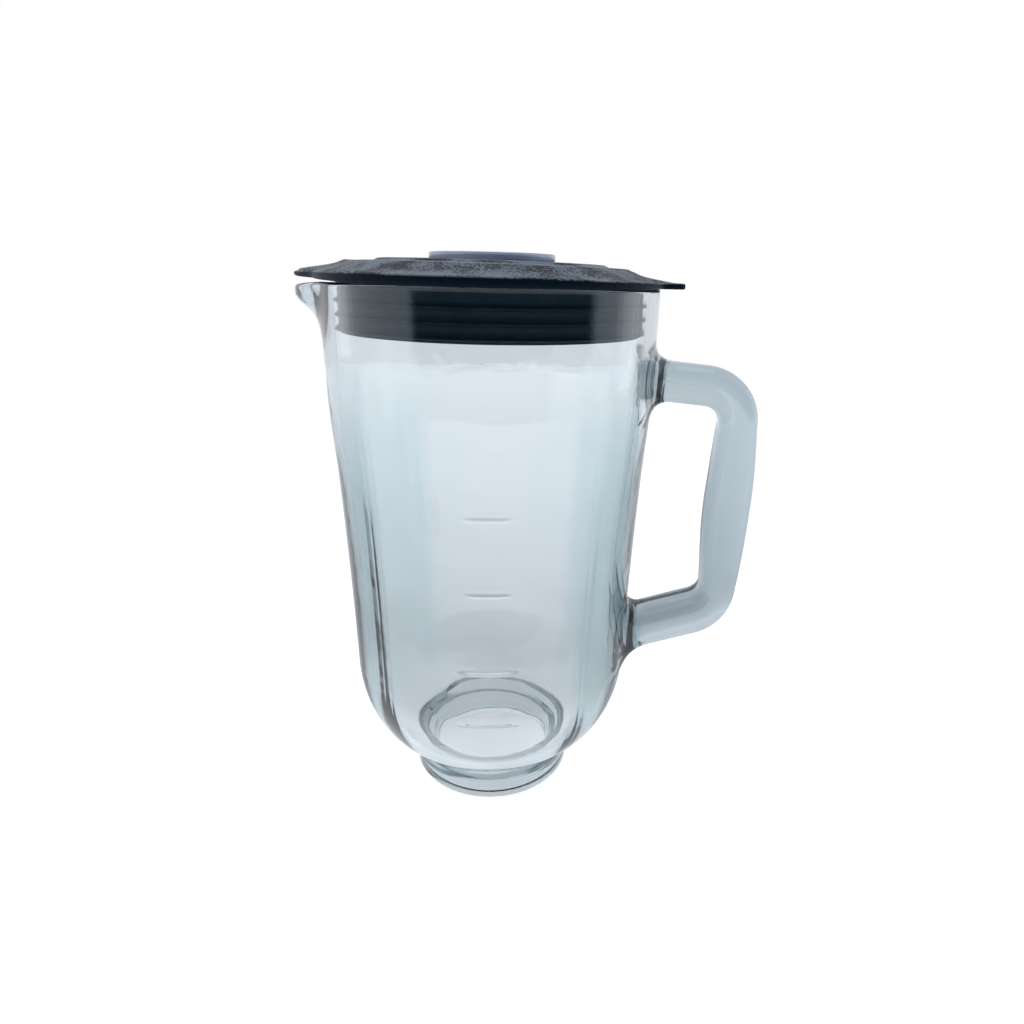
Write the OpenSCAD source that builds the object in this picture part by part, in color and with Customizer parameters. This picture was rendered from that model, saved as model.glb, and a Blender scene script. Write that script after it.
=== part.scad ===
// Glass blender jar with an integral handle, a lid, its rubber seal and a filler cap.
// Origin: centre of the neck's bottom face. +Z up, +X towards the handle, -X towards the spout,
// -Y towards the measuring lines.

/* [Jar body] */
// Height of the glass from the neck's foot to the rim
jar_h = 208.5; // [200:0.5:215]
// Outer radius at the rim
rim_r = 62; // [60:0.5:64]
// Outer radius where the straight side meets the rounded base
belly_r = 58; // [57:0.5:59]
// Thickness of the side wall
wall = 4; // [3.5:0.1:4.5]
// Height at which the rounded base starts
belly_z = 57; // [52:1:60]

/* [Neck] */
// Outer radius of the neck
neck_r = 34.6; // [33.5:0.1:35.5]
// Radius of the hole through the neck
bore_r = 26; // [24:0.5:27]
// Length of the straight part of that hole
bore_h = 5; // [4:0.5:7]
// Pitch of the screw thread
thread_pitch = 7; // [6.5:0.5:7.5]
// Height of the thread's ridge above the neck
thread_rise = 1.2; // [0.8:0.1:1.4]
// Turns of the thread
thread_turns = 1.4; // [1:0.05:1.45]

/* [Thick sides and ribs] */
// How far the two thick sides stand into the jar, towards the handle and towards the spout
side_rise = 2.6; // [1:0.1:3]
// Half the angle that a thick side spans
side_half = 50; // [40:1:50]
// Radius of the rounded rib near each edge of a thick side
rib_r = 14; // [10:0.5:16]
// How far a rib stands into the jar where the rounded base starts
rib_rise = 3.6; // [3:0.1:4.5]
// Height at which the thick sides and ribs have faded out
rib_top_z = 163; // [145:1:166]

/* [Spout] */
// Distance from the axis to the spout's tip
spout_reach = 73.2; // [71:0.1:75]
// Radius of the spout's tip, seen from above
spout_tip_r = 6; // [5.5:0.5:6.5]
// Height of the spout, from its lowest point on the wall to the rim
spout_drop = 20; // [16:1:22]
// How far the spout's tip lies below the rim
spout_dip = 1.4; // [0.5:0.1:2]

/* [Handle] */
// Distance from the axis to the middle of the grip
grip_x = 97; // [95:0.5:99]
// Width of the handle's section
handle_w = 19; // [17:0.5:21]
// Height of the middle of the upper arm at the wall
arm_top_z = 176.3; // [173:0.1:179]
// Height of the middle of the lower arm at the wall
arm_low_z = 64.3; // [62:0.1:67]

/* [Measuring lines] */
// Height of each raised line
line_zs = [55, 77.5, 109, 137];
// Length of each raised line along the wall
line_ls = [19, 16.5, 14.5, 13];
// How far a line stands out
line_rise = 0.4; // [0.3:0.1:0.6]
// Angle from -Y, towards the handle, to the middle of the lines
line_turn = 3.5; // [0:0.5:5]

/* [Lid] */
// Outer radius of the brim
brim_r = 63.5; // [62.5:0.5:64]
// Thickness of the brim
brim_t = 3.1; // [2.8:0.1:3.4]
// Distance from the axis to the tip of the lip over the spout
lip_reach = 73.5; // [72:0.5:74]
// Distance from the axis to the end of the lifting tab
tab_reach = 70.5; // [69:0.5:71]
// Width of the lifting tab
tab_w = 34; // [28:1:40]
// Height of the lid's top above the rim
lid_rise = 8.4; // [8:0.1:9]
// Outer radius of the skirt that carries the seal
skirt_r = 54; // [53.5:0.1:54.2]
// How far the skirt reaches below the rim
skirt_drop = 14.7; // [13:0.1:15]

/* [Seal] */
// Outer radius of the rubber sleeve
sleeve_r = 56; // [55.8:0.1:56.2]
// Outer radius of its fins
fin_r = 57.6; // [57.2:0.1:57.6]
// Number of fins
fin_count = 3; // [2:1:3]

/* [Filler cap] */
// Radius of the cap's disc
cap_r = 23.2; // [22.5:0.1:24]
// Height of the disc above the lid's top
cap_t = 3.1; // [2.6:0.1:3.5]
// Outer radius of the cup below the disc
cup_r = 19.6; // [19:0.1:19.7]
// Depth of the cup below the lid's top
cup_depth = 23; // [20:1:23]

/* [Hidden] */
$fn = 96;

// Jar
wide_r = rim_r - 1.7;            // outer radius half way up
wide_z = 138;
upright_z = 168;                 // above this the side is a plain cylinder
shoulder_r = 30;                 // radius at the middle of the base's curve
base_drop = 40;                  // height of that curve
floor_r = 27;                    // the same two for the inside
floor_drop = 38;
throat_r = 28.6;                 // top of the funnel that leads into the neck's hole
throat_z = 16.5;
throat_edge = 1.4;               // how far outside that funnel the base's inside starts
rim_round = 1.6;
foot_round = 1;
curve_steps = 14;
side_foot_z = 30;                // the thick sides run down into the base's own glass here
rib_over = 20;                   // how far a rib's cylinder runs on above its top
line_half = 0.5;                 // half the height of a measuring line at the wall
line_crest = 0.3;                // and at its crest

// Thread: a ridge with sloping flanks that stands in the neck's wall, with its two ends faded out
thread_root = 1;                 // how deep the ridge's foot is buried
thread_end = 0.5;                // how deep its crest is buried at the ends
thread_z = 4.6;                  // height of its lower end
thread_base = 3;
thread_crest = 1.2;
thread_step = 9;                 // degrees between two sections of the ridge
thread_fade = 25;                // degrees over which an end fades out

// Spout: hull of a tip, a root at the rim and a foot low on the wall; its channel is a smaller one
tip_t = 4.5;
root_x = 44;
root_r = 18;
root_t = 4;
spout_foot_x = 53;
spout_foot_r = 6;
spout_foot_t = 2;
channel_wall = 3.4;
channel_t = 0.9;                 // depth of the channel at the tip

// Handle: its middle line is two arms and a grip, joined by two round corners
corner_r = 15;
arm_start = 52;                  // both arms start inside the wall
arm_clear = 70;                  // and have their own thickness from here on
arm_drop = 4;                    // the upper arm falls by this much out to the grip
low_rise = 14;                   // the lower arm rises by this much out to the grip
arm_t = 16;                      // thickness of the upper arm
low_t = 19.5;                    // thickness of the lower arm
root_extra = 1;                  // how much thicker both arms are inside the wall
grip_t = 19;                     // thickness at the palm swell
corner_t = 15.5;
corner_steps = 7;
grip_steps = 10;
handle_sides = 16;
squareness = 2.5;                // exponent of the section's rounded-square outline

// Lid and seal
seal_gap = 0.2;                  // free play between the seal and the rim
flange_t = 1;                    // the seal's flange lies in a recess of the brim
flange_r = 57.4;
recess_r = 57.9;
sleeve_drop = 16.3;
fin_t = 1.4;
fin_pitch = 4.6;
fin_drop = 5;                    // from the rim down to the top fin
plate_t = 2.6;
skirt_t = 2.4;
plateau_r = 50.7;                // outer edge of the raised middle
plateau_edge = 0.4;              // how far that edge is worn down
step_r = 43;                     // a small step inside it
step_rise = 1.1;
step_edge = 0.3;
slope_w = 4.4;                   // the hollow of the slope lies this far outside the plateau
slope_drop = 2.3;                // and this far below it
hole_r = 20;
collar_t = 2;
collar_drop = 8.2;
lip_tip_r = 4.5;
lip_tip_t = 1.7;
lip_root_x = 40;
lip_root_r = 25;
tab_t = 2.2;

// Filler cap
cup_wall = 1.8;
disc_t = 2;
disc_edge = 0.4;
cap_dome = 0.6;                  // the disc's top falls by this much out to its edge
cap_flat = 6;                    // width of the ring in which it falls most
seat_gap = 0.1;                  // free play under the disc

glass = [0.80, 0.87, 0.89, 0.45];
black = [0.10, 0.11, 0.13];
rubber = [0.05, 0.06, 0.07];
violet = [0.72, 0.72, 0.84, 0.6];
cut = 1;                         // overrun of every cutting shape

// Points on a quarter of an ellipse, from its lowest point out to its widest
function bowl(r_mid, r_wide, z_wide, drop, from) =
    [for (i = [0:curve_steps]) let (a = from + (90 - from) * i / curve_steps)
        [r_mid + (r_wide - r_mid) * sin(a), z_wide - drop * cos(a)]];

function arc(cx, cz, r, a0, a1, n = 6) =
    [for (i = [0:n]) let (a = a0 + (a1 - a0) * i / n) [cx + r * cos(a), cz + r * sin(a)]];

neck_angle = asin((neck_r - shoulder_r) / (belly_r - shoulder_r));
throat_angle = asin((throat_r + throat_edge - floor_r) / (belly_r - wall - floor_r));

outer_side = concat(
    [[0, 0]],
    arc(neck_r - foot_round, foot_round, foot_round, -90, 0),
    bowl(shoulder_r, belly_r, belly_z, base_drop, neck_angle),
    [[wide_r, wide_z], [rim_r, upright_z]],
    arc(rim_r - rim_round, jar_h - rim_round, rim_round, 0, 90),
    [[0, jar_h]]);

inner_side = concat(
    [[0, -cut], [bore_r, -cut], [bore_r, bore_h], [throat_r, throat_z]],
    bowl(floor_r, belly_r - wall, belly_z, floor_drop, throat_angle),
    [[wide_r - wall, wide_z], [rim_r - wall, upright_z], [rim_r - wall, jar_h - rim_round]],
    arc(rim_r - wall + rim_round, jar_h - rim_round, rim_round, 180, 90),
    [[rim_r - wall + rim_round, jar_h + cut], [0, jar_h + cut]]);

// Outer radius of the jar at height z, up to where it is widest
function side_r(z) = z > belly_z
    ? belly_r + (wide_r - belly_r) * (z - belly_z) / (wide_z - belly_z)
    : shoulder_r + (belly_r - shoulder_r) * sqrt(1 - pow((belly_z - z) / base_drop, 2));

// One closed solid from rings of points, one ring for each step of a sweep
module sweep(rings) {
    n = len(rings[0]);
    last = len(rings) - 1;
    polyhedron(
        points = [for (ring = rings) each ring],
        faces = concat(
            [[for (j = [0:n - 1]) j]],
            [for (i = [0:last - 1], j = [0:n - 1]) let (k = (j + 1) % n)
                each [[i * n + j, (i + 1) * n + j, (i + 1) * n + k],
                      [i * n + j, (i + 1) * n + k, i * n + k]]],
            [[for (j = [0:n - 1]) last * n + n - 1 - j]]));
}

module thread() {
    span = thread_turns * 360;
    function share(a) = max(0, min(1, a / thread_fade, (span - a) / thread_fade));
    sweep([for (a = [0:thread_step:span])
        let (z = thread_z + thread_pitch * a / 360, root = neck_r - thread_root,
             tip = neck_r - thread_end + (thread_rise + thread_end) * share(a))
        [for (p = [[root, -thread_base / 2], [tip, -thread_crest / 2],
                   [tip, thread_crest / 2], [root, thread_base / 2]])
            [p.x * cos(a), p.x * sin(a), z + p.y]]]);
}

// Middle line of the handle as [x, z, direction, thickness], from the upper arm to the lower
arm_slope = atan(arm_drop / (grip_x - arm_start));
low_slope = atan(low_rise / (grip_x - arm_start));
top_turn = 90 - arm_slope;
low_turn = 90 - low_slope;
top_bend_z = arm_top_z - arm_drop - corner_r * tan(top_turn / 2);
low_bend_z = arm_low_z + low_rise + corner_r * tan(low_turn / 2);

function corner(z, from, turn, t0, t1) =
    [for (i = [0:corner_steps]) let (u = i / corner_steps, d = from - turn * u)
        [grip_x - corner_r + corner_r * cos(90 + d), z + corner_r * sin(90 + d), d, t0 + (t1 - t0) * u]];

function handle_line() = concat(
    [[arm_start, arm_top_z, -arm_slope, arm_t + root_extra],
     [arm_clear, arm_top_z - (arm_clear - arm_start) * tan(arm_slope), -arm_slope, arm_t]],
    corner(top_bend_z, -arm_slope, top_turn, arm_t, corner_t),
    [for (i = [1:grip_steps - 1]) let (u = i / grip_steps)
        [grip_x, top_bend_z + (low_bend_z - top_bend_z) * u, -90,
         corner_t + (grip_t - corner_t) * sin(180 * u)]],
    corner(low_bend_z, -90, low_turn, corner_t, low_t),
    [[arm_clear, arm_low_z + (arm_clear - arm_start) * tan(low_slope), low_slope - 180, low_t],
     [arm_start, arm_low_z, low_slope - 180, low_t + root_extra]]);

function squared(v) = sign(v) * pow(abs(v), 2 / squareness);

module handle() {
    sweep([for (p = handle_line())
        [for (j = [0:handle_sides - 1])
            let (b = 360 * j / handle_sides, out = p[3] / 2 * squared(sin(b)))
            [p[0] + out * cos(p[2] + 90), handle_w / 2 * squared(cos(b)), p[1] + out * sin(p[2] + 90)]]]);
}

module spout() {
    hull() {
        translate([spout_tip_r - spout_reach, 0, jar_h - spout_dip - tip_t])
            cylinder(r = spout_tip_r, h = tip_t, $fn = 32);
        translate([-root_x, 0, jar_h - root_t]) cylinder(r = root_r, h = root_t, $fn = 32);
        translate([-spout_foot_x, 0, jar_h - spout_drop])
            cylinder(r = spout_foot_r, h = spout_foot_t, $fn = 32);
    }
}

module spout_channel() {
    floor_z = jar_h - spout_dip - channel_t;
    open_t = spout_dip + channel_t + cut;
    hull() {
        translate([spout_tip_r - spout_reach, 0, floor_z])
            cylinder(r = spout_tip_r - channel_wall, h = open_t, $fn = 32);
        translate([-root_x, 0, floor_z - root_t])
            cylinder(r = root_r - channel_wall, h = open_t + root_t, $fn = 32);
        translate([channel_wall - spout_foot_x, 0, jar_h - spout_drop + channel_wall])
            cylinder(r = spout_foot_r - channel_wall / 2, h = spout_foot_t, $fn = 32);
    }
}

// The two thick sides, each with a rib near both its edges, as solids that fill part of the hollow
module thick_sides() {
    foot_r = belly_r - wall - side_rise;
    for (turn = [0, 180])
        rotate([0, 0, turn - side_half])
            rotate_extrude(angle = 2 * side_half)
                polygon([[foot_r, side_foot_z], [foot_r, belly_z], [wide_r - wall - side_rise, wide_z],
                         [rim_r - wall, rib_top_z], [rim_r, rib_top_z], [rim_r, side_foot_z]]);
    crest_r = belly_r - wall - rib_rise;
    top_r = rim_r - wall;
    lean = atan((top_r - crest_r) / (rib_top_z - belly_z));
    for (turn = [45:90:315])
        rotate([0, 0, turn])
            translate([top_r + rib_r, 0, rib_top_z])
                rotate([0, lean, 0])
                    translate([0, 0, -rib_top_z]) cylinder(r = rib_r, h = rib_top_z + rib_over);
}

module measuring_lines() {
    for (i = [0:len(line_zs) - 1])
        let (z = line_zs[i], r = side_r(z), half_a = line_ls[i] / 2 / r * 180 / PI)
            rotate([0, 0, line_turn - 90 - half_a])
                rotate_extrude(angle = 2 * half_a)
                    polygon([[r - wall / 2, z - line_half], [r + line_rise, z - line_crest],
                             [r + line_rise, z + line_crest], [r - wall / 2, z + line_half]]);
}

module jar() {
    color(glass)
        difference() {
            union() {
                rotate_extrude() polygon(outer_side);
                handle();
                spout();
                thread();
                measuring_lines();
            }
            difference() {
                rotate_extrude() polygon(inner_side);
                thick_sides();
            }
            spout_channel();
        }
}

brim_z = jar_h + seal_gap;       // underside of the brim
flange_z = brim_z + flange_t;    // roof of the recess that holds the seal's flange
lid_top = jar_h + lid_rise;

module lid_lip() {
    hull() {
        translate([lip_tip_r - lip_reach, 0, brim_z + brim_t - lip_tip_t])
            cylinder(r = lip_tip_r, h = lip_tip_t, $fn = 32);
        translate([-lip_root_x, 0, brim_z]) cylinder(r = lip_root_r, h = brim_t, $fn = 32);
    }
}

module lid_tab() {
    intersection() {
        translate([0, 0, brim_z]) cylinder(r = tab_reach, h = tab_t);
        translate([lip_root_x, -tab_w / 2, brim_z]) cube([tab_reach, tab_w, tab_t]);
    }
}

module lid() {
    plateau_z = lid_top - step_rise;
    color(black)
        difference() {
            union() {
                rotate_extrude() polygon([
                    [0, lid_top], [step_r - 1.5, lid_top - step_edge], [step_r, plateau_z + step_edge],
                    [plateau_r, plateau_z - plateau_edge], [plateau_r + slope_w, plateau_z - slope_drop],
                    [brim_r, brim_z + brim_t], [brim_r, brim_z], [recess_r, brim_z], [recess_r, flange_z],
                    [skirt_r, flange_z], [skirt_r, jar_h - skirt_drop],
                    [skirt_r - skirt_t, jar_h - skirt_drop], [skirt_r - skirt_t, flange_z],
                    [plateau_r - 1, plateau_z - plate_t - plateau_edge], [step_r, plateau_z - plate_t],
                    [hole_r + collar_t, lid_top - plate_t], [hole_r + collar_t, jar_h - collar_drop],
                    [0, jar_h - collar_drop]]);
                difference() {
                    union() {
                        lid_lip();
                        lid_tab();
                    }
                    translate([0, 0, brim_z - cut]) cylinder(r = skirt_r + skirt_t, h = brim_t + 2 * cut);
                    translate([0, 0, brim_z - cut]) cylinder(r = recess_r, h = flange_t + cut);
                }
            }
            translate([0, 0, jar_h - collar_drop - cut])
                cylinder(r = hole_r, h = lid_rise + collar_drop + 2 * cut);
        }
}

module lid_seal() {
    foot_z = jar_h - sleeve_drop;
    color(rubber)
        rotate_extrude() polygon(concat(
            [[skirt_r, flange_z], [skirt_r, foot_z], [sleeve_r, foot_z]],
            [for (i = [fin_count - 1:-1:0]) let (z = jar_h - fin_drop - fin_pitch * i)
                each [[sleeve_r, z - fin_t], [fin_r, z - fin_t / 2], [fin_r, z - fin_t / 4], [sleeve_r, z]]],
            [[sleeve_r, brim_z], [flange_r, brim_z], [flange_r, flange_z]]));
}

module filler_cap() {
    top = lid_top + cap_t;
    seat = lid_top + seat_gap;
    foot = lid_top - cup_depth;
    color(violet)
        rotate_extrude() polygon([
            [0, top - disc_t], [cup_r - cup_wall, top - disc_t], [cup_r - cup_wall, foot], [cup_r, foot],
            [cup_r, seat], [cap_r - disc_edge, seat], [cap_r, seat + disc_edge],
            [cap_r, top - cap_dome - disc_edge], [cap_r - disc_edge, top - cap_dome],
            [cap_r - cap_flat, top - cap_dome / 4], [0, top]]);
}

jar();
lid();
lid_seal();
filler_cap();
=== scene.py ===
"""Looks for the blender jar: pressed glass, moulded lid, rubber seal and clear filler cap.

Lengths in the shape functions are millimetres in the part's frame; mesh() turns them into metres.
"""
import math

import bmesh
import bpy
import numpy as np
from mathutils import Matrix, Vector


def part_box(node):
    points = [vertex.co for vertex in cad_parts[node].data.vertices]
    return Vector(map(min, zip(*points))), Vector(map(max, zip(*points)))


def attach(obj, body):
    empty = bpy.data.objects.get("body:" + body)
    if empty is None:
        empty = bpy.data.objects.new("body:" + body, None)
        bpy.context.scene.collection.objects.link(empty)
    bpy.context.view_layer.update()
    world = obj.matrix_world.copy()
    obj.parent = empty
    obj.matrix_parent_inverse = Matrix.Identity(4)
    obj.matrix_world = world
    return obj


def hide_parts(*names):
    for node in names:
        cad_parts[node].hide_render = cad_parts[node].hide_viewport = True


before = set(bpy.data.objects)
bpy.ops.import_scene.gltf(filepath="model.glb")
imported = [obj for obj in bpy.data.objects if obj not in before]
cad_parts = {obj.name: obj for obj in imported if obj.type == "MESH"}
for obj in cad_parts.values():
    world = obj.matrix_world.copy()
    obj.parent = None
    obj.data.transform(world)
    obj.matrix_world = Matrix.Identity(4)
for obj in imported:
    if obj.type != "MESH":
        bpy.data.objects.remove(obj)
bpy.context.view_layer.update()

MM = 0.001


def corners(node):
    """Lowest and highest corner of a CAD node, in millimetres."""
    low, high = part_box(node)
    return [v / MM for v in low], [v / MM for v in high]


jar_low, jar_high = corners("jar")
lid_low, lid_high = corners("lid")
seal_low, seal_high = corners("lid_seal")
cap_low, cap_high = corners("filler_cap")

# ---------------------------------------------------------------- shared shape tools


def smoothstep(x):
    x = np.clip(x, 0.0, 1.0)
    return x * x * (3.0 - 2.0 * x)


def hump(x):
    """1 at 0, falling along half a cosine wave to 0 at 1."""
    return 0.5 + 0.5 * np.cos(np.pi * np.clip(x, 0, 1))


def cubic(t, start, start_pull, stop, stop_pull):
    """Point at share t of a smooth curve, from the place and the pull at each end."""
    return (
        (2 * t**3 - 3 * t**2 + 1) * start
        + (t**3 - 2 * t**2 + t) * start_pull
        + (-2 * t**3 + 3 * t**2) * stop
        + (t**3 - t**2) * stop_pull
    )


def hermite(knots, z):
    """Radius at height z on a smooth curve through knots of (height, radius, slope)."""
    heights = [k[0] for k in knots]
    i = int(np.clip(np.searchsorted(heights, z) - 1, 0, len(knots) - 2))
    (z0, r0, m0), (z1, r1, m1) = knots[i], knots[i + 1]
    span = z1 - z0
    return cubic((z - z0) / span, r0, span * m0, r1, span * m1)


def arc(r, z, radius, start, stop, steps):
    """Points on an arc about (r, z), from angle start to angle stop in degrees."""
    angles = np.radians(np.linspace(start, stop, steps + 1))
    return [(r + radius * math.cos(a), z + radius * math.sin(a)) for a in angles]


def line(a, b, step):
    """Evenly spaced points from a to b, both included."""
    count = max(1, round(math.dist(a, b) / step))
    return [(a[0] + (b[0] - a[0]) * k / count, a[1] + (b[1] - a[1]) * k / count) for k in range(count + 1)]


def bend(start, corner, stop, steps):
    """Points on a smooth bend from start to stop, pulled towards corner."""
    return [
        tuple((1 - t) ** 2 * a + 2 * t * (1 - t) * b + t * t * c for a, b, c in zip(start, corner, stop))
        for t in np.linspace(0.0, 1.0, steps + 1)
    ]


def joined(*runs):
    """One run of points from several, without the doubled points where they meet."""
    points = []
    for run in runs:
        for p in run:
            if not points or math.dist(points[-1], p) > 0.02:
                points.append(p)
    return points


def mesh(name, points, faces):
    """A smooth-shaded object from points in millimetres."""
    data = bpy.data.meshes.new(name)
    data.from_pydata([tuple(p) for p in (np.asarray(points) * MM)], [], [tuple(f) for f in faces])
    data.update()
    piece = bpy.data.objects.new(name, data)
    bpy.context.scene.collection.objects.link(piece)
    face_outwards(piece)
    data.shade_smooth()
    return piece


def face_outwards(piece):
    """Turns every face's normal to the outside."""
    work = bmesh.new()
    work.from_mesh(piece.data)
    bmesh.ops.recalc_face_normals(work, faces=work.faces)
    work.to_mesh(piece.data)
    work.free()


def ring_faces(rows, columns, closed_rows=True, skip=()):
    """Quads of a grid whose columns wrap round, and whose rows do too if closed_rows."""
    last = rows if closed_rows else rows - 1
    faces = []
    for i in range(last):
        k = (i + 1) % rows
        for j in range(columns):
            if (i, j) not in skip:
                n = (j + 1) % columns
                faces.append((i * columns + j, i * columns + n, k * columns + n, k * columns + j))
    return faces


# ---------------------------------------------------------------- jar

# Spacing of the grid's columns in degrees, each up to an angle from the handle's plane
COLUMN_BANDS = [(33.0, 1.833), (41.0, 1.0), (53.0, 0.6), (58.0, 1.25), (90.0, 2.0)]
RIM_Z = jar_high[2]
RIM_R = jar_high[1]
BELLY_R = RIM_R - 4.0
BELLY_Z = 57.0
NECK_R = 34.6
NECK_TOP = 16.5
BORE_R = 26.0
WALL = 4.0
SHOULDER = (30.0, 40.0)             # middle radius and height of the base's outer curve
FLOOR = (27.0, 38.0)                # the same for its inner curve
SIDE = [(BELLY_Z, BELLY_R, 0.012), (138.3, RIM_R - 1.7, 0.045), (170.3, RIM_R, 0.008), (RIM_Z, RIM_R, 0.0)]
RIM_ROUND = 1.2
FOOT_ROUND = 1.0                    # outer edge of the neck's foot
CREASE_DROP = 2.6                   # height below the neck's top at which the bend into the bowl begins
THROAT_R = 36.0                     # where the inner bowl turns into the bore
LINES = [(55.0, 19.0), (77.5, 16.5), (109.0, 14.5), (137.0, 13.0)]    # height and length of each
LINE_TURN = 3.5                     # degrees from the front towards the handle
LINE_RISE = 0.4
# The ribs and thick sides are set by how their streaks render, and are much lower than the CAD model's
RIB_TOP = 169.3
RIB_RISE = 0.8                      # thickness at the middle of a rib
PAD_SHARE = 0.65                    # thickness of the side between two ribs, as a share of RIB_RISE
PAD_OVER = 6.0                      # how far the thick side runs on above the ribs
SIDE_SWELL = 0.45                   # further thickness the side gains from the ribs to its middle
SWELL_START, SWELL_SPAN = 52.0, 44.0    # degrees from the handle's plane where it begins, and its width
SIDE_FOOT = (30.0, 12.0)            # radius at which the thick side begins in the bowl, and its run
RIB_RUN = 36.0                      # height over which a rib rises to its full depth
PAD_RUN = 75.0                      # the same for the thick side between two ribs
RIB_FOOT = 54.0                     # degrees from the handle's plane to the foot of a rib's steep side
RIB_FLANK = 12.0                    # degrees over which that side rises
RIB_CREST, RIB_HALF = 45.0, 15.0    # degrees from the handle's plane to a rib's middle, and its half width
RIB_CREASES = [(43.2, 1.0, 0.02), (47.2, 1.2, 0.035), (51.0, 1.0, 0.025)]    # place, half width, height
CREASE_FOOT = (36.0, 9.0)           # radius at which the creases begin in the bowl, and their run
CREASE_END, CREASE_FADE = 6.0, 10.0     # how far below the ribs' tops they end, and the run of that end
WAVE_SIZE = 0.05                    # unevenness of the inner wall
THREAD = {"low": 4.6, "pitch": 7.0, "turns": 1.4, "rise": 1.2, "half": 2.5, "fade": 25.0}
SPOUT_SPAN = 33.0                   # degrees from the spout's middle to where it leaves the rim
SPOUT_OUTSIDE = [(0.0, 0.96), (1.4, 0.99), (3.0, 1.0), (5.0, 0.985), (6.4, 0.84), (8.0, 0.66), (10.2, 0.45),
                 (13.8, 0.2), (19.8, 0.03), (24.0, 0.0)]
SPOUT_POWER = 1.5                   # above 1 narrows the spout towards its tip
SPOUT_INSIDE = [(0.0, 0.95), (1.5, 0.88), (4.5, 0.68), (7.2, 0.45), (10.5, 0.24), (14.5, 0.08), (20.0, 0.0)]
SPOUT_DIP, DIP_RUN = 1.4, 20.0      # how far the spout's tip lies below the rim, and the height that gives
SPOUT_OUT = -jar_low[0] - RIM_R     # how far the tip stands out from the rim


def side_r(z):
    """Outer radius of the body at height z, above the neck."""
    if z >= BELLY_Z:
        return hermite(SIDE, z)
    middle, drop = SHOULDER
    return middle + (BELLY_R - middle) * math.sqrt(max(0.0, 1 - ((BELLY_Z - z) / drop) ** 2))


def inner_r(z):
    """Radius of the inside at height z, above the throat."""
    if z >= BELLY_Z:
        return hermite(SIDE, z) - WALL
    middle, drop = FLOOR
    return middle + (BELLY_R - WALL - middle) * math.sqrt(max(0.0, 1 - ((BELLY_Z - z) / drop) ** 2))


def column_angles():
    """Angles of the grid's columns: closer together on the flanks of the ribs."""
    quarter, start = [], 0.0
    for stop, spacing in COLUMN_BANDS:
        count = round((stop - start) / spacing)
        quarter += [start + (stop - start) * k / count for k in range(count)]
        start = stop
    return np.array([q + 90.0 * turn for turn in range(4) for q in quarter])


def softened(x, rounding=0.22):
    """0 to 1 along a straight ramp with rounded ends."""
    return sum(np.clip(x + d, 0.0, 1.0) for d in np.linspace(-rounding, rounding, 9)) / 9


ANGLES = column_angles()
COLUMNS = len(ANGLES)


def body_heights(low, high, step, finer=()):
    """Heights from low to high, with closer rows on both sides of each height in finer."""
    base = list(np.arange(low, high, step)) + [high]
    extra = [h + d for h in finer for d in (-1.3, -0.75, -0.4, -0.15, 0.15, 0.4, 0.75, 1.3)]
    kept = [z for z in base if all(abs(z - e) > 0.6 for e in extra)]
    return sorted(kept + [e for e in extra if low < e < high])


def bowl_points(middle, wide, drop, low_angle, steps):
    """Points up a quarter ellipse, from low_angle off its bottom to its widest."""
    angles = np.radians(np.linspace(low_angle, 90, steps + 1))
    return [(middle + (wide - middle) * math.sin(a), BELLY_Z - drop * math.cos(a)) for a in angles]


def outer_run():
    """The outside of the jar as (radius, height), from the foot to the rim."""
    low_angle = math.degrees(math.asin((NECK_R + 3.2 - SHOULDER[0]) / (BELLY_R - SHOULDER[0])))
    bowl = bowl_points(SHOULDER[0], BELLY_R, SHOULDER[1], low_angle, 36)
    bowl = [p for p in bowl if p[1] < BELLY_Z - 0.5]
    low_line = LINES[0][0]
    bowl = [p for p in bowl if abs(p[1] - low_line) > 1.4]
    bowl += [(side_r(z), z) for z in body_heights(low_line - 1.2, low_line + 1.2, 0.3)]
    bowl.sort(key=lambda p: (p[1], p[0]))
    crease_z = NECK_TOP - CREASE_DROP
    heights = body_heights(BELLY_Z, 160.0, 2.1, [z for z, _ in LINES[1:]]) + body_heights(161.2, 192.4, 1.2)
    heights += body_heights(194.0, RIM_Z - RIM_ROUND - 0.4, 1.8)
    return joined(
        arc(NECK_R - FOOT_ROUND, FOOT_ROUND, FOOT_ROUND, -90, 0, 5),
        line((NECK_R, FOOT_ROUND), (NECK_R, crease_z), 0.5),
        bend((NECK_R, crease_z), (NECK_R, NECK_TOP + 1.0), bowl[0], 7),
        bowl,
        [(side_r(z), z) for z in heights],
        arc(RIM_R - RIM_ROUND, RIM_Z - RIM_ROUND, RIM_ROUND, 0, 90, 7),
    )


def inner_run():
    """The inside of the jar as (radius, height), from the rim down to the foot."""
    low_angle = math.degrees(math.asin((THROAT_R - FLOOR[0]) / (BELLY_R - WALL - FLOOR[0])))
    bowl = bowl_points(FLOOR[0], BELLY_R - WALL, FLOOR[1], low_angle, 34)
    heights = body_heights(BELLY_Z + 1.5, RIM_Z - RIM_ROUND - 0.4, 2.1)
    edge = RIM_R - WALL
    return joined(
        arc(edge + RIM_ROUND, RIM_Z - RIM_ROUND, RIM_ROUND, 90, 180, 7),
        [(inner_r(z), z) for z in reversed(heights)],
        list(reversed(bowl)),
        bend(bowl[0], (29.4, 18.6), (27.4, 10.5), 12),
        bend((27.4, 10.5), (BORE_R + 0.2, 5.4), (BORE_R, 2.6), 6),
        arc(BORE_R + 1.5, 1.5, 1.5, 180, 270, 5),
        line((BORE_R + 2.4, 0.0), (NECK_R - 1.8, 0.0), 2.0),
    )


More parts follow.
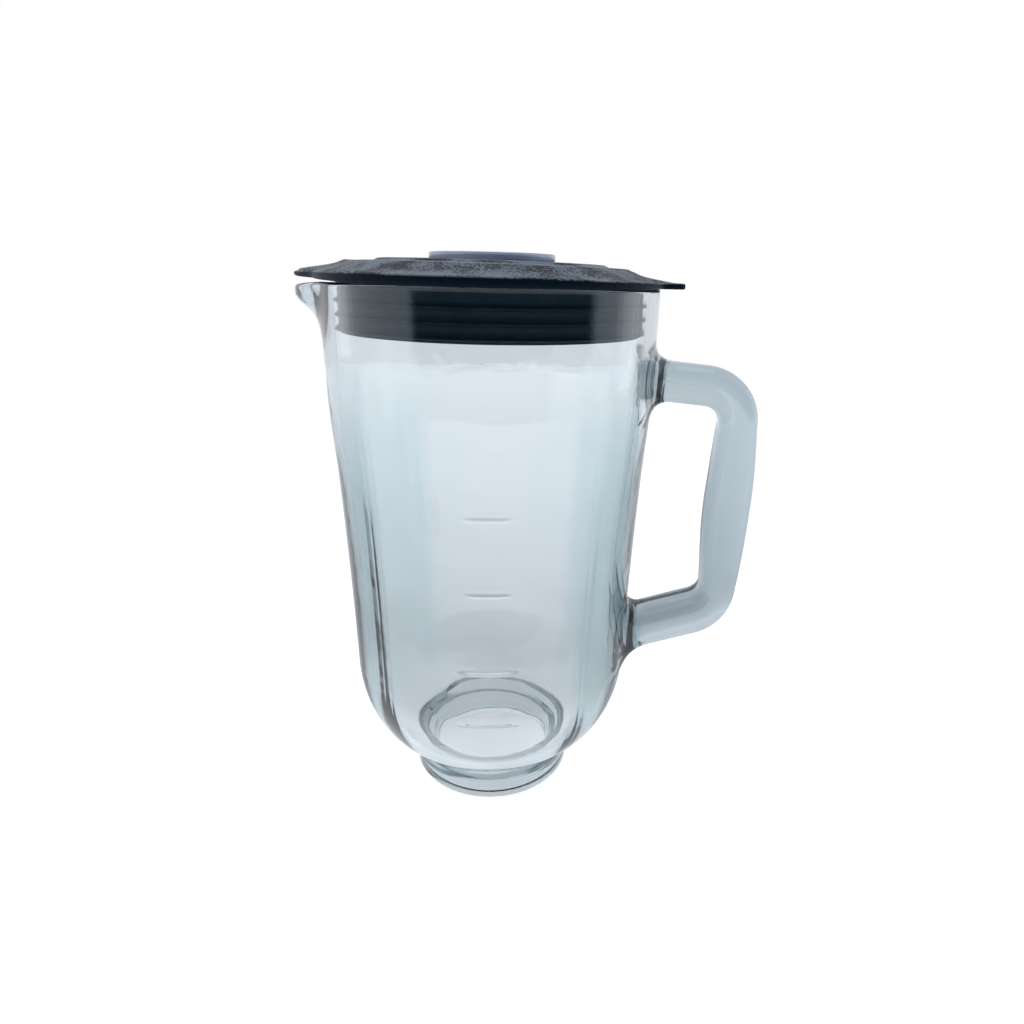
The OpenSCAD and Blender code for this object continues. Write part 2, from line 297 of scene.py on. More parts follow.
def spout_share(offset_degrees, drop, table, span):
    """How much of the spout's reach applies at an angle from its middle and a depth below the rim."""
    plan = hump(offset_degrees / span) ** SPOUT_POWER
    depths, shares = zip(*table)
    return plan * np.interp(drop, depths, shares)


def spout_dip(offset_degrees, z):
    """How far the spout pulls the rim and the wall below it down, towards its tip."""
    plan = hump(offset_degrees / SPOUT_SPAN) ** SPOUT_POWER
    return SPOUT_DIP * plan * float(smoothstep((z - RIM_Z + DIP_RUN) / DIP_RUN))


def spout_ripple(angle, z):
    """Small unevenness of the spout's channel, left by pouring hot glass."""
    a = np.radians(angle)
    return 0.28 * np.sin(34 * a + 0.9 * z) + 0.22 * np.sin(21 * a - 1.3 * z + 1.0)


def thread_height(angle, z):
    """How far the screw thread stands out of the neck."""
    rise = np.zeros_like(angle)
    for turn in (0, 1):
        run = angle + 360.0 * turn
        middle = THREAD["low"] + THREAD["pitch"] * run / 360.0
        end = THREAD["turns"] * 360.0
        fade = smoothstep(np.minimum(run, end - run) / THREAD["fade"])
        rise = np.maximum(rise, fade * smoothstep(1.5 - 1.5 * np.abs(z - middle) / THREAD["half"]))
    return THREAD["rise"] * rise


def line_height(angle, r, z):
    """How far a measuring line stands out of the wall."""
    across = np.abs(np.radians(angle - 270.0 - LINE_TURN) * r)
    near, length = min((abs(z - height), length) for height, length in LINES)
    ends = smoothstep((length / 2 - across) / 1.2 + 0.5)
    return LINE_RISE * ends * smoothstep(np.array(1.45 - near / 0.5))


def waves(angle, z, size):
    """Slow unevenness of pressed glass, in millimetres."""
    a = np.radians(angle)
    return size * (
        0.5 * np.sin(5 * a + 0.043 * z + 0.6)
        + 0.3 * np.sin(9 * a - 0.071 * z + 2.1)
        + 0.35 * np.sin(3 * a + 0.19 * z + 4.0) * np.sin(0.05 * z + 1.3)
    )


def rib_creases(from_plane, z):
    """Fine ridges running down each rib, uneven along their length."""
    push = np.zeros(COLUMNS)
    for place, half, height in RIB_CREASES:
        uneven = 0.75 + 0.25 * math.sin(0.13 * z + 2.0 * place)
        push += height * hump(np.abs(from_plane - place) / half) * uneven
    return push * float(smoothstep((RIB_TOP - CREASE_END - z) / CREASE_FADE))


def side_push(from_plane, r, z):
    """How far the ribs and thick sides stand into the hollow, at radius r and height z."""
    steep = softened((RIB_FOOT - from_plane) / RIB_FLANK)
    bead = hump(np.abs(from_plane - RIB_CREST) / RIB_HALF)
    bead_fade = float(softened((RIB_TOP - z) / RIB_RUN, 0.04))
    pad_fade = float(smoothstep((RIB_TOP + PAD_OVER - z) / PAD_RUN))
    swell = SIDE_SWELL * smoothstep((SWELL_START - from_plane) / SWELL_SPAN)
    ribbed = RIB_RISE * (PAD_SHARE * pad_fade + (1 - PAD_SHARE) * bead_fade * bead)
    foot, run = SIDE_FOOT
    return steep * float(smoothstep((r - foot) / run)) * (ribbed + pad_fade * swell)


def jar_surface():
    """All points of the jar's body as an array of rows by columns, and the outline of its outer rows."""
    angle = ANGLES
    cos_a, sin_a = np.cos(np.radians(angle)), np.sin(np.radians(angle))
    from_spout = np.abs(angle - 180.0)
    from_plane = 90.0 - np.abs((angle % 180.0) - 90.0)
    outside, inside = outer_run(), inner_run()
    rows = []
    for r, z in outside:
        out = r + SPOUT_OUT * spout_share(from_spout, RIM_Z - z, SPOUT_OUTSIDE, SPOUT_SPAN)
        if z < NECK_TOP:
            out = out + thread_height(angle, z)
        elif z < RIM_Z - 30:
            out = out + line_height(angle, r, z)
        rows.append(np.stack([out * cos_a, out * sin_a, z - spout_dip(from_spout, z)], axis=1))
    for k, (r, z) in enumerate(inside):
        before, after = inside[max(k - 1, 0)], inside[min(k + 1, len(inside) - 1)]
        along = np.array([after[0] - before[0], after[1] - before[1]])
        along /= np.linalg.norm(along)
        normal = np.array([along[1], -along[0]])          # into the hollow
        push = np.zeros(COLUMNS)
        if z > NECK_TOP + 2.0:
            foot, run = CREASE_FOOT
            push = side_push(from_plane, r, z)
            push = push + rib_creases(from_plane, z) * float(smoothstep((r - foot) / run))
            push = push + waves(angle, z, WAVE_SIZE) * float(smoothstep((RIM_Z - 10 - z) / 20.0))
        share = spout_share(from_spout, RIM_Z - z, SPOUT_INSIDE, SPOUT_SPAN - 3)
        out = r + normal[0] * push + (SPOUT_OUT + spout_ripple(angle, z)) * share
        height = z + normal[1] * push - spout_dip(from_spout, z)
        rows.append(np.stack([out * cos_a, out * sin_a, height], axis=1))
    return np.array(rows), outside


# The handle's middle line, as in the CAD model
GRIP_X = jar_high[0] - 9.5
ARM_X = 52.0
ARM_TOP, ARM_TOP_FALL, ARM_TOP_THICK = 176.3, 4.0, 16.0
ARM_LOW, ARM_LOW_RISE, ARM_LOW_THICK = 64.3, 14.0, 19.5
CORNER_R, CORNER_THICK, GRIP_THICK = 15.0, 15.5, 19.0
HANDLE_W = 19.0
SQUARENESS = 2.5                    # power of the handle's section: 2 is round, more is squarer
HANDLE_SWELL = 0.022                # unevenness of the handle's section, as a share of its size
FILLET = 6.5


def handle_stations():
    """Rings of the handle as (x, z, direction in degrees, thickness), from the upper arm to the lower."""
    slope_top = math.degrees(math.atan(ARM_TOP_FALL / (GRIP_X - ARM_X)))
    slope_low = math.degrees(math.atan(ARM_LOW_RISE / (GRIP_X - ARM_X)))
    top_z, low_z = ARM_TOP - ARM_TOP_FALL, ARM_LOW + ARM_LOW_RISE
    turn_top, turn_low = 90 - slope_top, 90 - slope_low
    leg_top = CORNER_R * math.tan(math.radians(turn_top / 2))
    leg_low = CORNER_R * math.tan(math.radians(turn_low / 2))
    stations = []

    def arm(x, height, slope, direction, thick):
        stations.append((x, height + (x - ARM_X) * math.tan(math.radians(slope)), direction, thick))

    def corner(middle_z, direction, thick):
        a = math.radians(90 + direction)
        x, z = GRIP_X - CORNER_R + CORNER_R * math.cos(a), middle_z + CORNER_R * math.sin(a)
        stations.append((x, z, direction, thick))

    end_top = GRIP_X - leg_top * math.cos(math.radians(slope_top))
    for x in np.linspace(RIM_R + FILLET + 1.5, end_top, 6)[:-1]:
        arm(x, ARM_TOP, -slope_top, -slope_top, ARM_TOP_THICK)
    for u in np.linspace(0, 1, 13):
        thick = ARM_TOP_THICK + (CORNER_THICK - ARM_TOP_THICK) * u
        corner(top_z - leg_top, -slope_top - turn_top * u, thick)
    for u in np.linspace(0, 1, 30)[1:-1]:
        z = top_z - leg_top + (low_z + leg_low - top_z + leg_top) * u
        thick = CORNER_THICK + (GRIP_THICK - CORNER_THICK) * math.sin(math.pi * u)
        stations.append((GRIP_X, z, -90.0, thick))
    for u in np.linspace(0, 1, 12):
        thick = CORNER_THICK + (ARM_LOW_THICK - CORNER_THICK) * float(smoothstep(np.array(u)))
        corner(low_z + leg_low, -90 - turn_low * u, thick)
    end_low = GRIP_X - leg_low * math.cos(math.radians(slope_low))
    for x in np.linspace(end_low, BELLY_R + FILLET + 3.0, 6)[1:]:
        arm(x, ARM_LOW, slope_low, -180 + slope_low, ARM_LOW_THICK)
    return stations


def section(station, angles):
    """One ring of the handle: a rounded square with slight unevenness, with angle 0 along +Y."""
    x, z, direction, thick = station
    swell = 1.0 - HANDLE_SWELL * (1.0 + np.sin(2 * angles + 0.055 * z + 0.03 * x) * np.sin(0.09 * z - angles))
    across = swell * HANDLE_W / 2 * np.sign(np.cos(angles)) * np.abs(np.cos(angles)) ** (2 / SQUARENESS)
    out = swell * thick / 2 * np.sign(np.sin(angles)) * np.abs(np.sin(angles)) ** (2 / SQUARENESS)
    a = math.radians(direction + 90)
    return np.stack([x + out * math.cos(a), across, z + out * math.sin(a)], axis=1)


def patch_loop(first, last, half, from_top):
    """Grid places (row, column) round a patch of the wall, starting at its left corner."""
    low, high = (last, first) if from_top else (first, last)
    step = -1 if from_top else 1
    loop = [(low, c) for c in range(-half, half)]
    loop += [(r, half) for r in range(low, high, step)]
    loop += [(high, c) for c in range(half, -half, -1)]
    loop += [(r, -half) for r in range(high, low, -step)]
    return loop


def loop_angles(points, centre, half_height, half_width, flip):
    """Angle of each loop point about the patch's middle, rising steadily from the first."""
    up = (points[:, 2] - centre) / half_height * (-1 if flip else 1)
    angles = np.unwrap(np.arctan2(up, points[:, 1] / half_width))
    return angles - 2 * math.pi * round((angles[0] + 0.75 * math.pi) / (2 * math.pi))


def fillet_rings(wall, ring, direction, steps=9):
    """Rings that leave the wall along its surface and turn into the arm, between wall and ring."""
    x, z = math.cos(math.radians(direction)), math.sin(math.radians(direction))
    axis = np.array([x, 0.0, z])
    normal = wall * [1, 1, 0]
    normal /= np.linalg.norm(normal, axis=1)[:, None]
    across = ring - wall
    inward = across - normal * np.sum(across * normal, axis=1)[:, None]
    reach = np.linalg.norm(across, axis=1)[:, None]
    start = inward / np.linalg.norm(inward, axis=1)[:, None] * reach * 1.25
    end = axis * reach * 1.25
    return [cubic(k / steps, wall, start, ring, end) for k in range(1, steps)]


def build_jar():
    """The jar's body with the handle joined into two patches cut from its wall."""
    grid, outside = jar_surface()
    heights = [z for _, z in outside]

    def row_at(z):
        return int(np.argmin([abs(h - z) for h in heights]))

    stations = handle_stations()
    slope_top = math.tan(math.radians(-stations[0][2]))
    centre_top = ARM_TOP - (RIM_R - ARM_X) * slope_top
    centre_low = ARM_LOW + (BELLY_R + 0.5 - ARM_X) * math.tan(math.radians(180 + stations[-1][2]))
    spans = []
    for centre, thick in ((centre_top, ARM_TOP_THICK), (centre_low, ARM_LOW_THICK + 1.0)):
        low, high = row_at(centre - thick / 2 - FILLET), row_at(centre + thick / 2 + FILLET)
        spans.append([low, high])
    # Both patches need the same number of edges, so the top one is made wider by what it lacks in rows
    lack = (spans[1][1] - spans[1][0]) - (spans[0][1] - spans[0][0])
    spans[0][1] += lack % 2
    half_low = 10
    half_top = half_low + (lack - lack % 2) // 2
    skip = set()
    for (low, high), half in zip(spans, (half_top, half_low)):
        skip |= {(i, j % COLUMNS) for i in range(low, high) for j in range(-half, half)}
    faces = ring_faces(len(grid), COLUMNS, True, skip)
    points = [grid.reshape(-1, 3)]
    count = grid.shape[0] * COLUMNS

    top = patch_loop(spans[0][0], spans[0][1], half_top, False)
    low = patch_loop(spans[1][0], spans[1][1], half_low, True)
    wall_top = np.array([grid[r, c % COLUMNS] for r, c in top])
    wall_low = np.array([grid[r, c % COLUMNS] for r, c in low])
    size_top = (wall_top[:, 2].max() - wall_top[:, 2].min()) / 2, wall_top[:, 1].max()
    size_low = (wall_low[:, 2].max() - wall_low[:, 2].min()) / 2, wall_low[:, 1].max()
    angles_top = loop_angles(wall_top, (wall_top[:, 2].max() + wall_top[:, 2].min()) / 2, *size_top, False)
    angles_low = loop_angles(wall_low, (wall_low[:, 2].max() + wall_low[:, 2].min()) / 2, *size_low, True)
    rings = []
    for k, station in enumerate(stations):
        share = float(smoothstep(np.array(k / (len(stations) - 1))))
        rings.append(section(station, angles_top * (1 - share) + angles_low * share))
    rings = fillet_rings(wall_top, rings[0], stations[0][2]) + rings
    rings += list(reversed(fillet_rings(wall_low, rings[-1], stations[-1][2] + 180)))

    n = len(top)
    first = [r * COLUMNS + c % COLUMNS for r, c in top]
    for ring in rings:
        points.append(ring)
        second = list(range(count, count + n))
        count += n
        faces += [(first[j], first[(j + 1) % n], second[(j + 1) % n], second[j]) for j in range(n)]
        first = second
    second = [r * COLUMNS + c % COLUMNS for r, c in low]
    faces += [(first[j], first[(j + 1) % n], second[(j + 1) % n], second[j]) for j in range(n)]
    return clean(mesh("jar_glass", np.concatenate(points), faces))


def clean(piece):
    """Drops the points that no face uses."""
    work = bmesh.new()
    work.from_mesh(piece.data)
    loose = [v for v in work.verts if not v.link_faces]
    bmesh.ops.delete(work, geom=loose, context="VERTS")
    work.to_mesh(piece.data)
    work.free()
    return piece


# ---------------------------------------------------------------- lid, seal and cap

LID_COLUMNS = 288


def turned(name, points, columns=160):
    """A closed outline turned about the Z axis."""
    angle = np.radians(np.arange(columns) * 360.0 / columns)
    grid = np.array([[(r * math.cos(a), r * math.sin(a), z) for a in angle] for r, z in points])
    return mesh(name, grid.reshape(-1, 3), ring_faces(len(points), columns))


BRIM_R = lid_high[1]
BRIM_Z = RIM_Z + 0.2
BRIM_T = 3.1
FLANGE_Z = seal_high[2]
LID_TOP = lid_high[2]
LID_FOOT = lid_low[2]
PLATEAU_R, STEP_R, HOLE_R = 50.7, 43.0, 20.0
SKIRT_R, SKIRT_T = 54.0, 2.4
LIP_SPAN = 21.0                     # degrees from the lip's tip to where it leaves the brim
LIP_LIFT = 0.85                     # how far the brim's underside rises towards the lip
NOSE_LIFT = 0.25                    # how much further it rises at the lip's tip
NOSE_ROUND = 0.9                    # how far the lip's edge is rounded back, above and below
TAB_DROP = 1.2                      # how far the brim's top falls towards the tab
LEAN = 0.008                        # slope of the raised middle, up towards the spout
LIP_BULGE = 1.45                    # how much fuller the slope is above the lip


def brim_reach(angle):
    """How far the brim's edge stands out past its circle: a pointed lip at 180 degrees, a blunt tab at 0."""
    from_lip = np.abs(angle - 180.0)
    from_tab = np.minimum(angle, 360.0 - angle)
    lip = hump(from_lip / LIP_SPAN) ** 1.3
    tab = smoothstep((16.5 - from_tab) / 4.0)
    return (-lid_low[0] - BRIM_R) * lip + (lid_high[0] - BRIM_R) * tab, lip


def lid_outline():
    """The lid's section as (radius, height, reach, low, high).

    The last three say how far a point follows the lip and tab, the brim's underside and its top.
    """
    top, edge = LID_TOP, BRIM_Z + BRIM_T
    plateau = top - 1.15
    points = [(HOLE_R + 0.5, top), (24.0, top), (30.0, top - 0.05), (36.0, top - 0.15), (40.6, top - 0.3)]
    points += [(41.4, top - 0.4), (42.0, top - 0.7), (42.6, top - 1.0), (43.3, plateau)]
    points += [(46.5, plateau - 0.1), (49.4, plateau - 0.25), (50.2, plateau - 0.4), (50.9, plateau - 0.8)]
    outline = [(r, z, 0, 0, 0) for r, z in points]
    for u in np.linspace(0.08, 1.0, 14):
        z = edge + (plateau - 0.8 - edge) * (1 - u) ** 1.7 + 0.1 * (1 - u)
        outline.append((51.0 + (BRIM_R - 0.7 - 51.0) * u, z, float(smoothstep((u - 0.25) / 0.75)), 0, u * u))
    edge_points = ((0.35, 0.97), (0.1, 0.88), (0.0, 0.76), (0.0, 0.5), (0.0, 0.2), (0.15, 0.08), (0.4, 0.0))
    for back, share in edge_points:
        outline.append((BRIM_R - back, BRIM_Z + BRIM_T * share, 1, 1 - share, share))
    outline += [(BRIM_R - 2.2, BRIM_Z, 0.75, 1, 0), (BRIM_R - 4.6, BRIM_Z, 0.3, 0.6, 0)]
    recess = seal_high[1] + 0.5
    points = [(recess, BRIM_Z), (recess, BRIM_Z + 0.5), (recess, FLANGE_Z), (SKIRT_R + 0.6, FLANGE_Z)]
    points += [(SKIRT_R, z) for z in np.linspace(FLANGE_Z - 0.5, LID_FOOT + 0.6, 5)]
    points += [(SKIRT_R - 0.4, LID_FOOT + 0.1), (SKIRT_R - 1.2, LID_FOOT), (SKIRT_R - 2.0, LID_FOOT + 0.1)]
    points += [(SKIRT_R - SKIRT_T, z) for z in np.linspace(LID_FOOT + 0.6, FLANGE_Z, 5)]
    points += [(SKIRT_R - SKIRT_T - 0.3, FLANGE_Z + 1.0), (PLATEAU_R - 1.2, plateau - 3.3)]
    points += [(48.0, plateau - 2.9), (STEP_R, plateau - 2.6), (34.0, top - 2.9), (26.0, top - 2.7)]
    points += [(23.0, top - 2.8), (22.2, top - 3.3)]
    collar = LID_TOP - 16.6
    points += [(22.0, top - 4.2), (22.0, collar + 6.0), (22.0, collar + 0.5), (21.6, collar + 0.1)]
    points += [(21.0, collar), (20.4, collar + 0.1), (HOLE_R, collar + 0.5)]
    points += [(HOLE_R, z) for z in np.linspace(collar + 5.0, top - 1.0, 4)]
    points += [(HOLE_R, top - 0.5), (HOLE_R + 0.15, top - 0.15)]
    return outline + [(r, z, 0, 0, 0) for r, z in points]


def build_lid():
    """The moulded lid, its outline turned and pulled out into the lip and the tab."""
    angle = np.arange(LID_COLUMNS) * 360.0 / LID_COLUMNS
    cos_a, sin_a = np.cos(np.radians(angle)), np.sin(np.radians(angle))
    extra, nose = brim_reach(angle)
    lip_side = hump(np.abs(angle - 180.0) / 75.0)
    tab_side = hump(np.minimum(angle, 360.0 - angle) / 95.0)
    low_lift = LIP_LIFT * lip_side + NOSE_LIFT * nose
    outline = lid_outline()
    rows = []
    for r, z, reach, low, high in outline:
        out = r + extra * reach
        up = low * low_lift - high * TAB_DROP * tab_side
        if reach == 1 and low:
            out = out - NOSE_ROUND * nose * (2 * high - 1) ** 2
        elif high:
            u = (r - 51.0) / (BRIM_R - 51.7)
            out = out - NOSE_ROUND * nose * u**6
            up = up + LIP_BULGE * (1 - u * u) * float(smoothstep(u / 0.15)) * lip_side
        if z > BRIM_Z + BRIM_T:
            up = up - LEAN * np.clip(out * cos_a, -52.0, 52.0)
        rows.append(np.stack([out * cos_a, out * sin_a, z + up], axis=1))
    return mesh("lid_shell", np.array(rows).reshape(-1, 3), ring_faces(len(outline), LID_COLUMNS))


def build_seal():
    """The rubber sleeve with rounded fins, and the flange that lies in the brim's recess."""
    sleeve, fin, flange = 56.0, 57.55, seal_high[1]
    foot, top = seal_low[2], seal_high[2]
    points = joined(
        line((SKIRT_R, top), (SKIRT_R, foot + 0.5), 3.0),
        arc(SKIRT_R + 0.5, foot + 0.5, 0.5, 180, 270, 3),
        arc(sleeve - 0.6, foot + 0.6, 0.6, 270, 360, 4),
    )
    fin_half, fin_top, fin_pitch = 0.35, 5.7, 4.6
    for z in (RIM_Z - fin_top - fin_pitch * k for k in (2, 1, 0)):
        tip = arc(fin - fin_half, z, fin_half, -90, 90, 5)
        points = joined(points, [(sleeve, z - 0.7)], tip, [(sleeve, z + 0.9)])
    points = joined(
        points, line((sleeve, RIM_Z - 4.0), (sleeve, RIM_Z - 0.6), 1.0),
        [(sleeve + 0.2, top - 1.0), (sleeve + 0.5, top - 1.0)],
        arc(flange - 0.45, top - 0.5, 0.45, -90, 90, 5),
    )
    return turned("seal_rubber", points, 200)


def build_cap():
    """The clear cap: a slightly domed disc with a cup below it."""
    disc, cup, wall = cap_high[1], 19.6, 1.8
    foot, top, seat = cap_low[2], cap_high[2], LID_TOP + 0.1
    domed = [(r, top - 0.0013 * r * r) for r in np.linspace(0.0, disc - 1.0, 14)]
    rim = domed[-1][1]
    points = joined(
        [(0.01, top)] + domed[1:],
        arc(disc - 0.6, rim - 0.6, 0.6, 80, 0, 5),
        [(disc, seat + 0.5), (disc - 0.15, seat + 0.12), (disc - 0.5, seat)],
        [(cup + 0.6, seat), (cup + 0.15, seat - 0.1), (cup, seat - 0.6)],
        line((cup, seat - 3.0), (cup, foot + 0.7), 4.0),
        arc(cup - wall / 2, foot + wall / 2, wall / 2, 0, -180, 8),
        line((cup - wall, foot + 2.0), (cup - wall - 0.1, top - 4.0), 4.0),
        [(cup - wall - 0.4, top - 3.0), (cup - wall - 1.2, top - 2.4)],
        line((cup - wall - 2.4, top - 2.2), (0.01, top - 2.2), 3.0),
    )
    return turned("cap_clear", points, 160)


# ---------------------------------------------------------------- materials


def new_material(name):
    material = bpy.data.materials.new(name)
    material.use_nodes = True
    nodes = material.node_tree.nodes
    return material, nodes, material.node_tree.links, nodes["Principled BSDF"], nodes["Material Output"]


def noise(nodes, links, scale, detail=3.0, roughness=0.5):
    """A noise texture in the part's own coordinates; scale is in features per metre."""
    where = nodes.new("ShaderNodeTexCoord")
    texture = nodes.new("ShaderNodeTexNoise")
    texture.inputs["Scale"].default_value = scale
    texture.inputs["Detail"].default_value = detail
    texture.inputs["Roughness"].default_value = roughness
    links.new(where.outputs["Object"], texture.inputs["Vector"])
    return texture


def bump(nodes, links, shader, height, distance, strength=1.0):
    node = nodes.new("ShaderNodeBump")
    node.inputs["Distance"].default_value = distance
    node.inputs["Strength"].default_value = strength
    links.new(height, node.inputs["Height"])
    links.new(node.outputs["Normal"], shader.inputs["Normal"])


def ramp(nodes, links, value, stops):
    node = nodes.new("ShaderNodeValToRGB")
    elements = node.color_ramp.elements
    while len(elements) < len(stops):
        elements.new(0.5)
    for element, (place, colour) in zip(elements, stops):
        element.position = place
        element.color = (*colour, 1.0)
    links.new(value, node.inputs["Fac"])
    return node.outputs["Color"]


def absorption(nodes, links, output, colour, density):
    node = nodes.new("ShaderNodeVolumeAbsorption")
    node.inputs["Color"].default_value = (*colour, 1.0)
    node.inputs["Density"].default_value = density
    links.new(node.outputs["Volume"], output.inputs["Volume"])


def maths(nodes, links, operation, *values):
    """A math node; each value is a socket or a number."""
    node = nodes.new("ShaderNodeMath")
    node.operation = operation
    for socket, value in zip(node.inputs, values):
        if isinstance(value, (int, float)):
            socket.default_value = value
        else:
            links.new(value, socket)
    return node.outputs["Value"]


def fade(nodes, links, value, start, stop, top=1.0):
    """0 where value is start and top where it is stop, with clamped ends."""
    node = nodes.new("ShaderNodeMapRange")
    node.inputs["From Min"].default_value = start
    node.inputs["From Max"].default_value = stop
    node.inputs["To Max"].default_value = top
    links.new(value, node.inputs["Value"])
    return node.outputs["Result"]


def mixed(nodes, links, share, first, second):
    """A blend from first to second by share; each is a socket or a plain colour."""
    mix = nodes.new("ShaderNodeMix")
    mix.data_type = "RGBA"
    links.new(share, mix.inputs["Factor"])
    for name, value in (("A", first), ("B", second)):
        if isinstance(value, tuple):
            mix.inputs[name].default_value = (*value, 1.0)
        else:
            links.new(value, mix.inputs[name])
    return mix.outputs["Result"]


def coordinates(nodes, links, kind):
    """The X, Y and Z sockets of a texture coordinate."""
    where = nodes.new("ShaderNodeTexCoord")
    split = nodes.new("ShaderNodeSeparateXYZ")
    links.new(where.outputs[kind], split.inputs["Vector"])
    return [split.outputs[name] for name in "XYZ"]


# Where the sides get painted shade, each from none to full; heights and radius in metres
SIDE_PAINTED_SHADE = (0.90, 0.962, 0.955)    # painted shade: a green-grey darkening of the thick sides, standing in for the darker teal that refraction and the long paths through thick glass give them, with a given strength
TINT_EDGE = (0.80, 0.72)            # share of the radius that points to the front or back
TINT_TOP = (0.172, 0.140)
TINT_FOOT = (0.022, 0.040)
TINT_R = (0.066, 0.063)             # leaves the handle clear


def painted_side_shade_mask(nodes, links):
    """Where painted shade goes: 1 on the thick sides of the body below the ribs' tops, 0 on the front, back,
    rim, neck and handle.
    """
    x, y, z = coordinates(nodes, links, "Object")
    flat = maths(nodes, links, "ABSOLUTE", y)
    squares = [maths(nodes, links, "POWER", value, 2.0) for value in (x, flat)]
    radius = maths(nodes, links, "SQRT", maths(nodes, links, "ADD", *squares))
    side = fade(nodes, links, maths(nodes, links, "DIVIDE", flat, radius), *TINT_EDGE)
    below, above = fade(nodes, links, z, *TINT_TOP), fade(nodes, links, z, *TINT_FOOT)
    heights = maths(nodes, links, "MULTIPLY", below, above)
    masked = maths(nodes, links, "MULTIPLY", side, heights)
    return maths(nodes, links, "MULTIPLY", masked, fade(nodes, links, radius, *TINT_R))


def pressed_glass():
    """Clear glass that absorbs red more than green and blue, with painted shade, a green-grey tint, on the
    thick sides.
    """
    material, nodes, links, shader, output = new_material("pressed_glass")
    # painted shade: the base colour goes from white to a green-grey on the thick sides
    links.new(mixed(nodes, links, painted_side_shade_mask(nodes, links), (1.0, 1.0, 1.0), SIDE_PAINTED_SHADE),
              shader.inputs["Base Color"])
    shader.inputs["Transmission Weight"].default_value = 1.0
    shader.inputs["IOR"].default_value = 1.51
    shader.inputs["Roughness"].default_value = 0.0
    ripple = noise(nodes, links, 70.0, 2.0)
    bump(nodes, links, shader, ripple.outputs["Fac"], 0.00006)
    absorption(nodes, links, output, (0.0, 0.18, 0.24), 40.0)
    return material


LID_BLACK = (0.001, 0.007, 0.014)
# grain and painted sheen together, from near black to light grey
SPECKLE_AND_SHEEN = [(0.84, (0.005, 0.010, 0.018)), (0.98, (0.042, 0.053, 0.068)), (1.14, (0.15, 0.17, 0.20))]
RUBBER = [(0.3, (0.003, 0.012, 0.024)), (0.7, (0.009, 0.021, 0.036))]


def lid_plastic():
    """Near-black moulded plastic, with a grey speckle on the faces that look up that is partly its grain and
    partly painted sheen.
    """
    material, nodes, links, shader, _ = new_material("lid_plastic")
    grain = noise(nodes, links, 1300.0, 3.0, 0.6)
    patch = noise(nodes, links, 70.0, 3.0)
    # painted sheen: only faces that look up get the lighter grey speckle, as if lit from above
    upper = fade(nodes, links, coordinates(nodes, links, "Normal")[2], 0.25, 0.6)
    mottled = maths(nodes, links, "MULTIPLY_ADD", patch.outputs["Fac"], 1.0, grain.outputs["Fac"])
    speckle_and_sheen = ramp(nodes, links, mottled, SPECKLE_AND_SHEEN)
    links.new(mixed(nodes, links, upper, LID_BLACK, speckle_and_sheen), shader.inputs["Base Color"])
    shader.inputs["Roughness"].default_value = 0.42
    shader.inputs["Specular IOR Level"].default_value = 0.05
    bump(nodes, links, shader, grain.outputs["Fac"], 0.00012)
    return material


def seal_rubber():
    """Matt black rubber with faint blotches."""
    material, nodes, links, shader, _ = new_material("seal_rubber")
    patch = noise(nodes, links, 120.0, 2.0)
    links.new(ramp(nodes, links, patch.outputs["Fac"], RUBBER), shader.inputs["Base Color"])
    shader.inputs["Roughness"].default_value = 0.6
    shader.inputs["Specular IOR Level"].default_value = 0.46
    shader.inputs["Specular Tint"].default_value = (0.74, 0.92, 1.0, 1.0)
    return material


def cap_plastic():
    """Clear plastic, made half opaque to come near the grey of the cup in the photo."""
    material, nodes, links, shader, output = new_material("cap_plastic")
    shader.inputs["Base Color"].default_value = (0.78, 0.81, 0.92, 1.0)
    shader.inputs["Transmission Weight"].default_value = 0.5
    shader.inputs["IOR"].default_value = 1.49
    shader.inputs["Roughness"].default_value = 0.06
    ripple = noise(nodes, links, 110.0, 2.0)
    bump(nodes, links, shader, ripple.outputs["Fac"], 0.0001)
    absorption(nodes, links, output, (0.70, 0.71, 0.87), 25.0)
    return material


def dress(piece, material, node, body):
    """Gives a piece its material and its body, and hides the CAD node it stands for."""
    piece.data.materials.append(material)
    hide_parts(node)
    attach(piece, body)


dress(build_jar(), pressed_glass(), "jar", "jar")
dress(build_lid(), lid_plastic(), "lid", "lid")
dress(build_seal(), seal_rubber(), "lid_seal", "lid")
dress(build_cap(), cap_plastic(), "filler_cap", "cap")

# ---------------------------------------------------------------- stage, light and camera


FLOOR_WHITE, WORLD_WHITE = (0.92, 0.92, 0.92), (1.0, 1.0, 1.0)
# What the glass sees of the floor, from in front of the jar to behind it: white, a dark band, then grey
FLOOR_STOPS = [(0.0, (0.98, 1.0, 1.04)), (0.167, (1.04, 1.07, 1.13)), (0.22, (0.44, 0.46, 0.49)),
               (0.26, (0.32, 0.34, 0.37)), (0.313, (0.46, 0.48, 0.52)), (0.48, (0.62, 0.65, 0.69)),
               (0.95, (0.78, 0.81, 0.85))]
# What it sees of the world, from a dark blue front to a white back
WORLD_STOPS = [(0.235, (0.020, 0.045, 0.075)), (0.265, (0.74, 0.87, 1.01)), (0.62, (0.88, 0.91, 0.95)),
               (0.95, (0.96, 0.98, 1.03))]
WORLD_BACK = (-0.235, 1.0, 0.0)     # direction in which the world is brightest
LAMP_COLOUR = (0.82, 0.92, 1.0)


def seen_directly(nodes, links, direct, through):
    """A colour that is direct where the camera looks at it, and through in reflections and refractions."""
    path = nodes.new("ShaderNodeLightPath")
    return mixed(nodes, links, path.outputs["Is Camera Ray"], through, direct)


